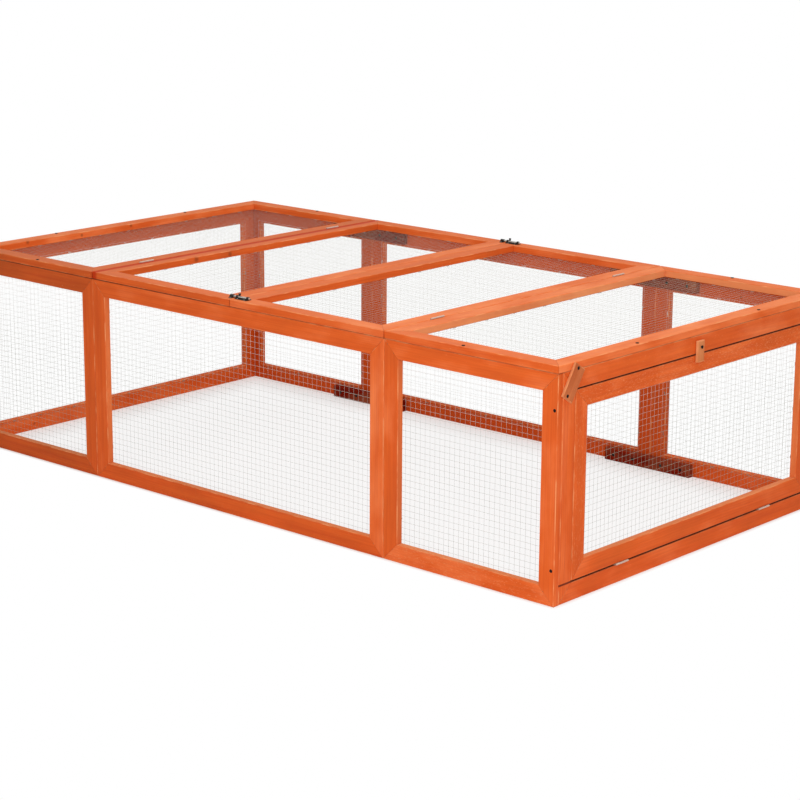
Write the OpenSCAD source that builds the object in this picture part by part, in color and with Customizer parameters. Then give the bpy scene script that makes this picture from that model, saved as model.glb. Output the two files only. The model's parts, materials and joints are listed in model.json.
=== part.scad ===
// Low wooden run for guinea pigs: mitred softwood frames with welded wire netting,
// two roof lids that open from the middle, and a drop-down door in one short end.
// +X points to the door end, -Y to the front long side, +Z up.
// The origin is the middle of the ground rectangle.

/* [Run] */
// Length of the run along X
run_l = 1815; // [1700:5:1900]
// Width of the run along Y
run_w = 970; // [900:5:1040]
// Height of the side and end panels
wall_h = 474; // [450:2:500]

/* [Boards] */
// Width of every frame board
board_w = 39; // [37:1:42]
// Thickness of every frame board
board_t = 16; // [15:1:18]
// Chamfer along the long edges of the boards
edge_ease = 1.2; // [0.8:0.1:1.6]
// Open joint at each mitre
mitre_gap = 0.3; // [0.2:0.1:0.4]
// Gap between neighbouring side panels
seam_gap = 0.6; // [0.4:0.1:0.9]
// Gap between an end frame and the side panels
end_gap = 0.3; // [0.2:0.1:0.6]

/* [Mitre pins] */
// Radius of a mitre pin
pin_nail_r = 0.8; // [0.6:0.1:1.2]
// Length of a mitre pin
pin_nail_l = 13; // [10:0.5:14]
// Distance of the outer pin from the frame's outer corner, along each edge
pin_nail_in = 10; // [8:1:12]
// Distance of the inner pin from the frame's outer corner, along each edge
pin_nail_out = 27; // [22:1:30]

/* [Netting] */
// Thickness of the netting, two crossing layers of bars deep
net_t = 1.4; // [1:0.1:2]
// Gap between the two layers of netting bars
net_layer_gap = 0.1; // [0.1:0.05:0.3]
// Width of a netting bar
net_bar = 2; // [1:0.1:3]
// Spacing that the netting bars come closest to
net_cell = 66.5; // [60:0.5:100]
// Lap of the netting over the frame around each window
net_lap = 6; // [4:0.5:6.5]

/* [Lids] */
// Gap under a closed lid
lid_gap = 0.3; // [0.2:0.1:0.6]
// Gap between the two lids where they meet
lid_meet_gap = 1.2; // [1:0.1:2]

/* [Door] */
// Gap along the top and the sides of the door
door_gap = 1.5; // [1.2:0.1:2.5]

/* [Hinges] */
// Gap that the two leaves of a hinge close up to
hinge_gap = 2.4; // [2.4:0.1:3]
// Length of a hinge along its pin
hinge_l = 42; // [36:1:50]
// Depth of a hinge leaf below its pin
leaf_reach = 14; // [12.5:0.5:14]
// Thickness of a hinge leaf
leaf_t = 1; // [0.8:0.05:1.05]
// Radius of a hinge knuckle
knuckle_r = 2.2; // [2:0.05:2.2]
// Height of a hinge pin above the face that it stands out of
hinge_rise = 1.4; // [1.4:0.05:1.8]
// Radius of a hinge pin
hinge_pin_r = 1; // [0.8:0.05:1.2]
// Distance of each lid hinge from the middle of the run
lid_hinge_y = 318; // [260:2:360]
// Distance of each door hinge from the middle of the door
door_hinge_y = 262; // [200:2:340]
// Play between neighbouring knuckles
knuckle_play = 0.3; // [0.2:0.05:0.5]

/* [Barrel bolts] */
// Width of the base plates of the bolt and its keeper
plate_w = 18; // [17:1:22]
// Thickness of those base plates
plate_t = 1.2; // [1:0.1:1.5]
// Distance of the bolt's base plate from the edge of its lid
plate_set = 2.4; // [2:0.2:4]
// Length of the keeper along the bolt
keeper_l = 10; // [8:1:12]
// Distance of the keeper from the edge of its lid
keeper_set = 6; // [5:0.5:8]
// Width of each strap over the bolt
strap_w = 6; // [5:0.5:7]
// Wall of each strap
strap_wall = 1.2; // [1:0.1:1.5]
// Radius of the bolt's rod
rod_r = 2.5; // [2.2:0.1:2.8]
// Length of the rod beyond its base plate at the free end
rod_tail = 2; // [1:0.5:4]
// Length of the rod beyond the keeper
rod_nose = 2; // [1:0.5:4]
// Radius of the bolt's knob
knob_r = 3; // [2.4:0.1:3.2]
// Share of the knob's radius that its stem has
knob_stem = 0.7; // [0.6:0.05:0.8]
// Height of the knob above the middle of the rod
knob_h = 8.5; // [7.5:0.5:10]
// Travel of the bolt between the straps of its base plate
bolt_travel = 19; // [18.5:0.5:22]
// Gap between the knob and a strap at each end of that travel
knob_gap = 0.5; // [0.3:0.1:0.8]
// Distance of a plate's screw heads from the plate's edges
plate_screw_rim = 0.7; // [0.5:0.1:1.2]
// Distance of a base plate's screw heads from the straps
strap_screw_gap = 1; // [0.6:0.1:3]

/* [Turn button] */
// Length of the turn button
button_l = 45; // [42:1:48]
// Width of the turn button
button_w = 25; // [22:1:30]
// Thickness of the turn button
button_t = 6; // [5:0.5:8]
// Distance of the button's pivot below its upper end
button_pivot = 13; // [11:1:15]
// Height of the button's pivot above the lower edge of the header
button_rise = 15; // [13:1:18]
// Place of the button along the door, from the middle
button_y = -13; // [-60:1:60]
// Gap behind the button and under its screw's head
button_gap = 0.4; // [0.3:0.1:0.8]
// Share of the head's radius that is flat on top of the button's screw
button_head_flat = 0.7; // [0.5:0.05:0.8]

/* [Corner cleats] */
// Length of a corner cleat
cleat_l = 73; // [68:1:78]
// Width of a corner cleat
cleat_w = 35; // [30:1:36]
// Thickness of a corner cleat
cleat_t = 6; // [5:0.5:8]
// Tilt of a corner cleat from level
cleat_tilt = 57; // [55:1:59]
// Distance of the cleat's middle from the outer face of the long side
cleat_in = 42; // [40:1:44]
// Distance of the cleat's middle below the top of the panels
cleat_drop = 24; // [23:1:25]
// Half the distance between the two screws of a cleat
cleat_screw_half = 30; // [29:1:31]
// Distance of those screws from the cleat's middle line, on its upper side
cleat_screw_side = 4.5; // [4:0.5:6]

/* [Joining blocks] */
// Length of a joining block
block_l = 246; // [220:2:280]
// Height of a joining block
block_h = 30; // [26:1:31]
// Thickness of a joining block
block_t = 16; // [12:1:18]
// Distance of the outer screws from the middle of a block
block_screw_outer = 98; // [90:1:104]
// Distance of the inner screws from the middle of a block
block_screw_inner = 41; // [30:1:60]

/* [Screws] */
// Radius of the shank of the wood screws
screw_r = 2; // [1.6:0.1:2.2]
// Radius of the head of the wood screws
screw_head_r = 3.6; // [3.2:0.1:4]
// Height of a countersunk head
screw_head_h = 2.2; // [1.8:0.1:2.6]
// Depth that a wood screw bites into its second board
screw_bite = 22; // [16:1:26]
// Depth that a joining block's screw bites into the frame
block_screw_bite = 11; // [8:1:13]
// Height of the lower corner screws, and drop of the upper ones from the top
corner_screw_in = 74; // [60:2:90]
// Distance of the roof's side screws from the middle of the run
roof_screw_x = 660; // [620:5:700]
// Distance of the roof's end screws from the middle of the run
roof_screw_y = 220; // [180:5:260]
// Radius of the shank of the small screws
small_screw_r = 1; // [0.8:0.05:1.1]
// Radius of the head of the small screws
small_head_r = 1.8; // [1.5:0.1:1.9]
// Length of the small screws in the wood
small_screw_l = 9; // [7:0.5:10]

/* [Hidden] */
$fn = 40;
// Cutters run this far past the faces that they cut
over = 1;
// Radial clearance of a moving fit
run_fit = 0.05;
// Radial clearance of a screw or a pin in its hole
screw_fit = 0.03;
// Radial clearance of the rod in its keeper
keeper_fit = 0.4;
// Radial clearance between a knuckle and the other leaf
knuckle_air = 0.3;
knuckle_count = 3;
wood = "#d9622f";
wood_dark = "#8a2f12";
wire = "#9da0a2";
steel = "#a9a294";
zinc = "#6f6c66";
screw_black = "#2b2623";

quarter = run_l / 4;
end_l = run_w - 2 * (board_t + end_gap);
side_in = run_w / 2 - board_t;
roof_z = wall_h;
roof_top = roof_z + board_t;
lid_z = roof_z + lid_gap;
lid_top = lid_z + board_t;
lid_l = quarter - (hinge_gap + lid_meet_gap) / 2;
roof_l = quarter - hinge_gap / 2;
door_w = end_l - 2 * (board_w + door_gap);
door_h = wall_h - 2 * board_w - door_gap - hinge_gap;
door_z = board_w + hinge_gap;
mitre_set = mitre_gap / sqrt(2);
knuckle_l = hinge_l / knuckle_count;
button_z = wall_h - board_w + button_rise;
bolt_y = (run_w - board_w) / 2;
rod_z = plate_t + rod_r + run_fit;
plate_l = 2 * (strap_w + knob_r + knob_gap) + bolt_travel;
knob_x = plate_set + strap_w + knob_gap + knob_r;
rod_tip = -keeper_set - keeper_l - rod_nose;
rod_end = plate_set + plate_l + rod_tail;
panel_start = [-2 * quarter, -quarter + seam_gap / 2, quarter + seam_gap / 2];
panel_end = [-quarter - seam_gap / 2, quarter - seam_gap / 2, 2 * quarter];

// Cross-section of a board with eased long edges
function eased(w, t) = [
    [edge_ease, 0], [w - edge_ease, 0], [w, edge_ease], [w, t - edge_ease],
    [w - edge_ease, t], [edge_ease, t], [0, t - edge_ease], [0, edge_ease]];

// A square-cut board along +X, its width along +Y and its thickness along +Z
module stick(l, w, t) {
    rotate([90, 0, 90])
        linear_extrude(height = l)
            polygon(eased(w, t));
}

// A board with both ends mitred, its long edge on the X axis
module mitred_board(l) {
    intersection() {
        stick(l, board_w, board_t);
        translate([0, 0, -over])
            linear_extrude(height = board_t + 2 * over)
                polygon([
                    [mitre_set - over, -over], [l - mitre_set + over, -over],
                    [l - mitre_set - board_w - over, board_w + over],
                    [mitre_set + board_w + over, board_w + over]]);
    }
}

// Two pins across each mitre of a frame a by b
module at_mitre_pins(a, b) {
    for (d = [pin_nail_in, pin_nail_out])
        for (x = [d, a - d])
            for (y = [d, b - d])
                translate([x, y, board_t])
                    children();
}

// Four mitred boards round a window, lying on the XY plane with the outer face up
module frame(a, b) {
    difference() {
        union() {
            mitred_board(a);
            translate([a, b, 0])
                rotate(180)
                    mitred_board(a);
            translate([0, b, 0])
                rotate(-90)
                    mitred_board(b);
            translate([a, 0, 0])
                rotate(90)
                    mitred_board(b);
        }
        at_mitre_pins(a, b)
            translate([0, 0, -pin_nail_l])
                cylinder(r = pin_nail_r + screw_fit, h = pin_nail_l + over);
    }
}

module mitre_pins(a, b) {
    at_mitre_pins(a, b)
        translate([0, 0, -pin_nail_l])
            cylinder(r = pin_nail_r, h = pin_nail_l);
}

// Netting behind a frame a by b, lapping over its inner face
module net(a, b) {
    w = a - 2 * (board_w - net_lap);
    h = b - 2 * (board_w - net_lap);
    cols = max(1, round((w - net_bar) / net_cell));
    rows = max(1, round((h - net_bar) / net_cell));
    layer_t = (net_t - net_layer_gap) / 2;
    translate([board_w - net_lap, board_w - net_lap, 0]) {
        for (i = [0 : cols])
            translate([i * (w - net_bar) / cols, 0, -layer_t])
                cube([net_bar, h, layer_t]);
        for (j = [0 : rows])
            translate([0, j * (h - net_bar) / rows, -net_t])
                cube([w, net_bar, layer_t]);
    }
}

// Places for whatever lies on the XY plane with its outer face up
module on_front(i) {
    translate([panel_start[i], -side_in, 0])
        rotate([90, 0, 0])
            children();
}

module on_door_end(y, z) {
    translate([run_l / 2 - board_t, y, z])
        rotate([90, 0, 90])
            children();
}

module on_roof(x, z) {
    translate([x, -run_w / 2, z])
        children();
}

module to_back() {
    mirror([0, 1, 0])
        children();
}

module to_other_end() {
    mirror([1, 0, 0])
        children();
}

module all_corners() {
    for (mx = [0, 1])
        for (my = [0, 1])
            mirror([mx, 0, 0])
                mirror([0, my, 0])
                    children();
}

// A countersunk screw driven down from the face at z = 0
module wood_screw(bite, cover, fit = 0) {
    translate([0, 0, -screw_head_h])
        cylinder(r1 = screw_r + fit, r2 = screw_head_r + fit, h = screw_head_h);
    translate([0, 0, -cover - bite - fit])
        cylinder(r = screw_r + fit, h = cover + bite + fit - screw_head_h);
}

module wood_screw_hole(bite, cover) {
    wood_screw(bite, cover, screw_fit);
    translate([0, 0, -screw_fit])
        cylinder(r = screw_head_r + screw_fit, h = over);
}

// A small screw whose head fills a plate of thickness t that lies under z = 0
module small_screw(t, fit = 0) {
    translate([0, 0, -t])
        cylinder(r = small_head_r + fit, h = t);
    translate([0, 0, -t - small_screw_l - fit])
        cylinder(r = small_screw_r + fit, h = small_screw_l + fit);
}

module small_screw_hole(t) {
    small_screw(t, screw_fit);
    translate([0, 0, -screw_fit])
        cylinder(r = small_head_r + screw_fit, h = over);
}

module at_corner_screws() {
    all_corners()
        for (z = [corner_screw_in, wall_h - corner_screw_in])
            translate([run_l / 2 - board_t / 2, -run_w / 2, z])
                rotate([90, 0, 0])
                    children();
}

module at_roof_screws() {
    all_corners() {
        translate([roof_screw_x, -run_w / 2 + board_t / 2, roof_top])
            children();
        translate([run_l / 2 - board_t / 2, roof_screw_y, roof_top])
            children();
    }
}

module at_block_screws() {
    all_corners()
        for (dx = [-block_screw_outer, -block_screw_inner, block_screw_inner, block_screw_outer])
            for (z = [block_h / 2, wall_h - block_h / 2])
                translate([quarter + dx, -side_in + block_t, z])
                    rotate([-90, 0, 0])
                        children();
}

module at_cleats() {
    for (my = [0, 1])
        mirror([0, my, 0])
            translate([run_l / 2, -run_w / 2 + cleat_in, wall_h - cleat_drop])
                rotate([90, 0, 90])
                    rotate(cleat_tilt)
                        children();
}

module at_cleat_screws() {
    at_cleats()
        for (d = [-cleat_screw_half, cleat_screw_half])
            translate([d, cleat_screw_side, cleat_t])
                children();
}

module corner_screw_holes() {
    at_corner_screws()
        wood_screw_hole(screw_bite, board_t);
}

module roof_screw_holes() {
    at_roof_screws()
        wood_screw_hole(screw_bite, board_t);
}

module block_screw_holes() {
    at_block_screws()
        wood_screw_hole(block_screw_bite, block_t);
}

module cleat_screw_holes() {
    at_cleat_screws()
        wood_screw_hole(screw_bite, cleat_t);
}

// Side panels
module panel_frame(i) {
    difference() {
        on_front(i)
            frame(panel_end[i] - panel_start[i], wall_h);
        corner_screw_holes();
        roof_screw_holes();
        block_screw_holes();
    }
}

module panel_net(i) {
    on_front(i)
        net(panel_end[i] - panel_start[i], wall_h);
}

module front_left_frame() {
    color(wood) panel_frame(0);
}

module front_centre_frame() {
    color(wood) panel_frame(1);
}

module front_right_frame() {
    color(wood) panel_frame(2);
}

module back_left_frame() {
    color(wood) to_back() panel_frame(0);
}

module back_centre_frame() {
    color(wood) to_back() panel_frame(1);
}

module back_right_frame() {
    color(wood) to_back() panel_frame(2);
}

module front_left_net() {
    color(wire) panel_net(0);
}

module front_centre_net() {
    color(wire) panel_net(1);
}

module front_right_net() {
    color(wire) panel_net(2);
}

module back_left_net() {
    color(wire) to_back() panel_net(0);
}

module back_centre_net() {
    color(wire) to_back() panel_net(1);
}

module back_right_net() {
    color(wire) to_back() panel_net(2);
}

// End frames
module end_frame() {
    difference() {
        on_door_end(-end_l / 2, 0)
            frame(end_l, wall_h);
        corner_screw_holes();
        roof_screw_holes();
    }
}

module plain_end_frame() {
    color(wood) to_other_end() end_frame();
}

module plain_end_net() {
    color(wire)
        to_other_end()
            on_door_end(-end_l / 2, 0)
                net(end_l, wall_h);
}

module doorway_frame() {
    color(wood)
        difference() {
            end_frame();
            cleat_screw_holes();
            button_screw_hole();
            at_door_leaf_screws(1)
                small_screw_hole(leaf_t);
        }
}

// Fixed roof frames
module roof_frame() {
    difference() {
        on_roof(-2 * quarter, roof_z)
            frame(roof_l, run_w);
        roof_screw_holes();
        at_lid_leaf_screws(-1)
            small_screw_hole(leaf_t);
    }
}

module roof_left_frame() {
    color(wood) roof_frame();
}

module roof_right_frame() {
    color(wood)
        difference() {
            to_other_end() roof_frame();
            cleat_screw_holes();
        }
}

module roof_left_net() {
    color(wire)
        on_roof(-2 * quarter, roof_z)
            net(roof_l, run_w);
}

module roof_right_net() {
    color(wire) to_other_end() roof_left_net();
}

// Joining blocks inside the long sides
module joining_blocks(z) {
    difference() {
        all_corners()
            translate([quarter - block_l / 2, -side_in, z])
                rotate([90, 0, 0])
                    translate([0, 0, -block_t])
                        stick(block_l, block_h, block_t);
        block_screw_holes();
    }
}

module bottom_joining_blocks() {
    color(wood_dark) joining_blocks(0);
}

module top_joining_blocks() {
    color(wood_dark) joining_blocks(wall_h - block_h);
}

module corner_cleats() {
    color(wood)
        difference() {
            at_cleats()
                translate([-cleat_l / 2, -cleat_w / 2, 0])
                    stick(cleat_l, cleat_w, cleat_t);
            cleat_screw_holes();
        }
}

module joining_block_screws() {
    color(screw_black)
        at_block_screws()
            wood_screw(block_screw_bite, block_t);
}

module corner_screws() {
    color(screw_black)
        at_corner_screws()
            wood_screw(screw_bite, board_t);
}

module roof_screws() {
    color(screw_black)
        at_roof_screws()
            wood_screw(screw_bite, board_t);
}

module cleat_screws() {
    color(screw_black)
        at_cleat_screws()
            wood_screw(screw_bite, cleat_t);
}

// Hinges. The pin lies on the Y axis and the leaves hang below it.
// A leaf on side 1 lies against +X, a leaf on side -1 against -X.
module knuckles(outer) {
    for (k = outer ? [-1, 1] : [0])
        translate([0, k * knuckle_l, 0])
            children();
}

module knuckle_barrel() {
    rotate([90, 0, 0])
        cylinder(r = knuckle_r, h = knuckle_l - knuckle_play, center = true);
}

module hinge_leaf(side, outer) {
    plate_x = side > 0 ? hinge_gap / 2 - leaf_t : -hinge_gap / 2;
    difference() {
        union() {
            translate([plate_x, -hinge_l / 2, -leaf_reach])
                cube([leaf_t, hinge_l, leaf_reach - knuckle_r - knuckle_air]);
            knuckles(outer) {
                knuckle_barrel();
                translate([plate_x, -(knuckle_l - knuckle_play) / 2, -knuckle_r - knuckle_air - over])
                    cube([leaf_t, knuckle_l - knuckle_play, knuckle_r + knuckle_air + over]);
            }
        }
        rotate([90, 0, 0])
            cylinder(r = hinge_pin_r + run_fit, h = hinge_l + 2 * over, center = true);
        at_leaf_screws(side)
            small_screw_hole(leaf_t);
    }
}

module at_leaf_screws(side) {
    for (y = [-hinge_l / 3, hinge_l / 3])
        translate([side * (hinge_gap / 2 - leaf_t), y, -(leaf_reach + knuckle_r) / 2])
            rotate([0, -90 * side, 0])
                children();
}

module hinge_pin() {
    rotate([90, 0, 0])
        cylinder(r = hinge_pin_r, h = hinge_l, center = true);
}

module at_left_lid_hinges() {
    for (y = [-lid_hinge_y, lid_hinge_y])
        translate([-quarter, y, roof_top + hinge_rise])
            children();
}

module at_door_hinges() {
    for (y = [-door_hinge_y, door_hinge_y])
        translate([run_l / 2 + hinge_rise, y, door_z - hinge_gap / 2])
            rotate([0, 90, 0])
                children();
}

module at_lid_leaf_screws(side) {
    at_left_lid_hinges()
        at_leaf_screws(side)
            children();
}

module at_door_leaf_screws(side) {
    at_door_hinges()
        at_leaf_screws(side)
            children();
}

module left_lid_fixed_leaves() {
    color(steel)
        at_left_lid_hinges()
            hinge_leaf(-1, true);
}

module right_lid_fixed_leaves() {
    to_other_end() left_lid_fixed_leaves();
}

module left_lid_hinge_leaves() {
    color(steel)
        at_left_lid_hinges()
            hinge_leaf(1, false);
}

module right_lid_hinge_leaves() {
    to_other_end() left_lid_hinge_leaves();
}

module door_fixed_leaves() {
    color(steel)
        at_door_hinges()
            hinge_leaf(1, true);
}

module door_hinge_leaves() {
    color(steel)
        at_door_hinges()
            hinge_leaf(-1, false);
}

module lid_hinge_pins() {
    color(steel)
        for (mx = [0, 1])
            mirror([mx, 0, 0])
                at_left_lid_hinges()
                    hinge_pin();
}

module door_hinge_pins() {
    color(steel)
        at_door_hinges()
            hinge_pin();
}

module fixed_leaf_screws() {
    color(steel) {
        for (mx = [0, 1])
            mirror([mx, 0, 0])
                at_lid_leaf_screws(-1)
                    small_screw(leaf_t);
        at_door_leaf_screws(1)
            small_screw(leaf_t);
    }
}

// Lids
module lid_frame() {
    difference() {
        on_roof(-quarter + hinge_gap / 2, lid_z)
            frame(lid_l, run_w);
        at_lid_leaf_screws(1)
            small_screw_hole(leaf_t);
    }
}

module lid_net() {
    on_roof(-quarter + hinge_gap / 2, lid_z)
        net(lid_l, run_w);
}

module left_lid_frame() {
    color(wood)
        difference() {
            lid_frame();
            at_keeper_screws()
                small_screw_hole(plate_t);
        }
}

module right_lid_frame() {
    color(wood)
        difference() {
            to_other_end() lid_frame();
            at_bolt_plate_screws()
                small_screw_hole(plate_t);
        }
}

module left_lid_net() {
    color(wire) lid_net();
}

module right_lid_net() {
    color(wire) to_other_end() lid_net();
}

module left_lid_hinge_screws() {
    color(steel)
        at_lid_leaf_screws(1)
            small_screw(leaf_t);
}

module right_lid_hinge_screws() {
    to_other_end() left_lid_hinge_screws();
}

module left_lid_mitre_pins() {
    color(steel)
        on_roof(-quarter + hinge_gap / 2, lid_z)
            mitre_pins(lid_l, run_w);
}

module right_lid_mitre_pins() {
    to_other_end() left_lid_mitre_pins();
}

// Barrel bolts. x runs from the meeting edge of the lids, z from the top of the lid.
module at_bolt(sy) {
    translate([0, sy * bolt_y, lid_top])
        children();
}

// A strap over the rod, down to the middle of its base plate
module strap(x, l, bore) {
    reach = bore + strap_wall;
    difference() {
        union() {
            translate([x, 0, rod_z])
                rotate([0, 90, 0])
                    cylinder(r = reach, h = l);
            translate([x, -reach, plate_t / 2])
                cube([l, 2 * reach, rod_z - plate_t / 2]);
        }
        translate([x - over, -reach - over, plate_t / 2 - reach])
            cube([l + 2 * over, 2 * (reach + over), reach]);
    }
}

module rod_bore(x, l, bore) {
    translate([x - over, 0, rod_z])
        rotate([0, 90, 0])
            cylinder(r = bore, h = l + 2 * over);
}

module base_plate(x, l) {
    translate([x, -plate_w / 2, 0])
        cube([l, plate_w, plate_t]);
}

module at_plate_screws(xs) {
    for (sy = [-1, 1])
        at_bolt(sy)
            for (x = xs)
                for (y = [-1, 1])
                    translate([x, y * (plate_w / 2 - small_head_r - plate_screw_rim), plate_t])
                        children();
}

module at_bolt_plate_screws() {
    inset = strap_w + small_head_r + strap_screw_gap;
    at_plate_screws([plate_set + inset, plate_set + plate_l - inset])
        children();
}

module at_keeper_screws() {
    at_plate_screws([-keeper_set - keeper_l / 2])
        children();
}

module bolt_plates() {
    color(zinc)
        difference() {
            for (sy = [-1, 1])
                at_bolt(sy)
                    difference() {
                        union() {
                            base_plate(plate_set, plate_l);
                            strap(plate_set, strap_w, rod_r + run_fit);
                            strap(plate_set + plate_l - strap_w, strap_w, rod_r + run_fit);
                        }
                        rod_bore(plate_set, plate_l, rod_r + run_fit);
                    }
            at_bolt_plate_screws()
                small_screw_hole(plate_t);
        }
}

module bolt_keepers() {
    color(zinc)
        difference() {
            for (sy = [-1, 1])
                at_bolt(sy)
                    difference() {
                        union() {
                            base_plate(-keeper_set - keeper_l, keeper_l);
                            strap(-keeper_set - keeper_l, keeper_l, rod_r + keeper_fit);
                        }
                        rod_bore(-keeper_set - keeper_l, keeper_l, rod_r + keeper_fit);
                    }
            at_keeper_screws()
                small_screw_hole(plate_t);
        }
}

module bolt_plate_screws() {
    color(steel)
        at_bolt_plate_screws()
            small_screw(plate_t);
}

module keeper_screws() {
    color(steel)
        at_keeper_screws()
            small_screw(plate_t);
}

module bolt_rod(sy) {
    color(steel)
        at_bolt(sy) {
            translate([rod_tip, 0, rod_z])
                rotate([0, 90, 0])
                    cylinder(r = rod_r, h = rod_end - rod_tip);
            translate([knob_x, 0, rod_z])
                cylinder(r = knob_r * knob_stem, h = knob_h);
            translate([knob_x, 0, rod_z + knob_h - knob_r])
                cylinder(r = knob_r, h = knob_r);
        }
}

module front_bolt_rod() {
    bolt_rod(-1);
}

module back_bolt_rod() {
    bolt_rod(1);
}

// Door
module on_doorway() {
    on_door_end(-door_w / 2, door_z)
        children();
}

module door_frame() {
    color(wood)
        difference() {
            on_doorway()
                frame(door_w, door_h);
            at_door_leaf_screws(-1)
                small_screw_hole(leaf_t);
        }
}

module door_net() {
    color(wire)
        on_doorway()
            net(door_w, door_h);
}

module door_hinge_screws() {
    color(steel)
        at_door_leaf_screws(-1)
            small_screw(leaf_t);
}

module door_mitre_pins() {
    color(steel)
        on_doorway()
            mitre_pins(door_w, door_h);
}

// Turn button on the header over the door
module at_button() {
    translate([run_l / 2 + button_gap, button_y, button_z])
        rotate([90, 0, 90])
            children();
}

module turn_button() {
    color(wood)
        difference() {
            at_button()
                translate([-button_w / 2, button_pivot, 0])
                    rotate(-90)
                        stick(button_l, button_w, button_t);
            at_button()
                translate([0, 0, -over])
                    cylinder(r = screw_r + run_fit, h = button_t + 2 * over);
        }
}

module button_screw() {
    head_z = button_t + button_gap;
    color(screw_black)
        at_button() {
            translate([0, 0, head_z])
                cylinder(r1 = screw_head_r, r2 = screw_head_r * button_head_flat, h = screw_head_h);
            translate([0, 0, -screw_bite])
                cylinder(r = screw_r, h = screw_bite + head_z);
        }
}

module button_screw_hole() {
    at_button()
        translate([0, 0, -screw_bite - screw_fit])
            cylinder(r = screw_r + screw_fit, h = screw_bite + screw_fit);
}

module run_mitre_pins() {
    color(steel) {
        for (my = [0, 1])
            mirror([0, my, 0])
                for (i = [0 : 2])
                    on_front(i)
                        mitre_pins(panel_end[i] - panel_start[i], wall_h);
        for (mx = [0, 1])
            mirror([mx, 0, 0]) {
                on_door_end(-end_l / 2, 0)
                    mitre_pins(end_l, wall_h);
                on_roof(-2 * quarter, roof_z)
                    mitre_pins(roof_l, run_w);
            }
    }
}

front_left_frame();
front_centre_frame();
front_right_frame();
back_left_frame();
back_centre_frame();
back_right_frame();
plain_end_frame();
doorway_frame();
roof_left_frame();
roof_right_frame();
front_left_net();
front_centre_net();
front_right_net();
back_left_net();
back_centre_net();
back_right_net();
plain_end_net();
roof_left_net();
roof_right_net();
bottom_joining_blocks();
top_joining_blocks();
corner_cleats();
joining_block_screws();
corner_screws();
roof_screws();
cleat_screws();
button_screw();
left_lid_fixed_leaves();
right_lid_fixed_leaves();
door_fixed_leaves();
lid_hinge_pins();
door_hinge_pins();
fixed_leaf_screws();
run_mitre_pins();
left_lid_frame();
left_lid_net();
left_lid_hinge_leaves();
left_lid_hinge_screws();
left_lid_mitre_pins();
bolt_keepers();
keeper_screws();
right_lid_frame();
right_lid_net();
right_lid_hinge_leaves();
right_lid_hinge_screws();
right_lid_mitre_pins();
bolt_plates();
bolt_plate_screws();
front_bolt_rod();
back_bolt_rod();
door_frame();
door_net();
door_hinge_leaves();
door_hinge_screws();
door_mitre_pins();
turn_button();
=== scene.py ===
"""Looks of a low wooden run for guinea pigs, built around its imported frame.

Mitred softwood frames in an orange glazing stain, half-inch welded netting, screws,
staples, hinges and barrel bolts. Everything is in metres: +X is the door end and -Y
the front.
"""

import json
import math
from functools import partial, reduce

import bpy
import numpy as np
from mathutils import Matrix, Vector

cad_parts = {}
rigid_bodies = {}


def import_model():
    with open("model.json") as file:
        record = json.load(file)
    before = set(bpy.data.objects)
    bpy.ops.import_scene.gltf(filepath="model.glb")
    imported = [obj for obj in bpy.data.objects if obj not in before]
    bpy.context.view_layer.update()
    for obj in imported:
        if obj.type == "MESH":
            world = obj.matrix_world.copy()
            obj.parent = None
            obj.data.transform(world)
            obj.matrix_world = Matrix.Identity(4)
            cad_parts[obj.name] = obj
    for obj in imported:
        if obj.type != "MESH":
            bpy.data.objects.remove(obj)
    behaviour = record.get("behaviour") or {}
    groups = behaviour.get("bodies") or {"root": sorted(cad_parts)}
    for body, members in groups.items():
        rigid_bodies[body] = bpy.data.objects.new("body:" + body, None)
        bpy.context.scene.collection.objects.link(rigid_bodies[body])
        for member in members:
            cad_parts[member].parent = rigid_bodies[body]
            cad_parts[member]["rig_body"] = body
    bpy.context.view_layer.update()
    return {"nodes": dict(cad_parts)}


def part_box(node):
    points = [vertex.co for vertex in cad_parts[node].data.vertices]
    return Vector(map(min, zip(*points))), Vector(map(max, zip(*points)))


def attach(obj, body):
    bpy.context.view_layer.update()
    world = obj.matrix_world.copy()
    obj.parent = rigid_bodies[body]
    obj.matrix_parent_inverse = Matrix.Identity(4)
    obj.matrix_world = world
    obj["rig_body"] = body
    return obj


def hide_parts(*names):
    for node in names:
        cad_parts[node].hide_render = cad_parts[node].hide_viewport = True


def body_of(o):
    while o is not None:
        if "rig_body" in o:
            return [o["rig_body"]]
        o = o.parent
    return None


bl_info = {
    "name": "Guinea pig run",
    "version": (1, 0, 0),
    "blender": (4, 5, 0),
    "location": "View3D > Sidebar > Run",
    "description": "Finish, netting and hardware for a low wooden run",
    "category": "Object",
}

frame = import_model()

MM = 0.001
# Middle of the run, from which every frame's outer side faces away
MIDDLE = np.array([0.0, 0.0, 0.24])
# Panel planes: which of X, Y and Z runs across, up and through the frame
PLANES = {"side": [0, 2, 1], "end": [1, 2, 0], "roof": [0, 1, 2]}
# Lines of colour along a joint: axis, place, reach and strength. Dirt and stain gather in
# most, and a strength above 1 makes up for the fade. LID_STEP is the reddish sawn side of
# the board that stands a little higher in the photograph
UNDER_ROOF = (2, 473.8 * MM, 2.2 * MM, 0.8)
UNDER_END = (2, 474.0 * MM, 1.8 * MM, 0.75)
DOOR_TOP = (2, 434.2 * MM, 2.7 * MM, 2.6)
DOOR_FOOT = (2, 40.2 * MM, 3.0 * MM, 2.6)
LID_STEP = (0, -448.5 * MM, 12.0 * MM, 1.0)
# From where to where along X the level lines fade, and from what to what share
LINE_FADE = (-120.0 * MM, 60.0 * MM, 1.0, 0.35)
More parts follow.
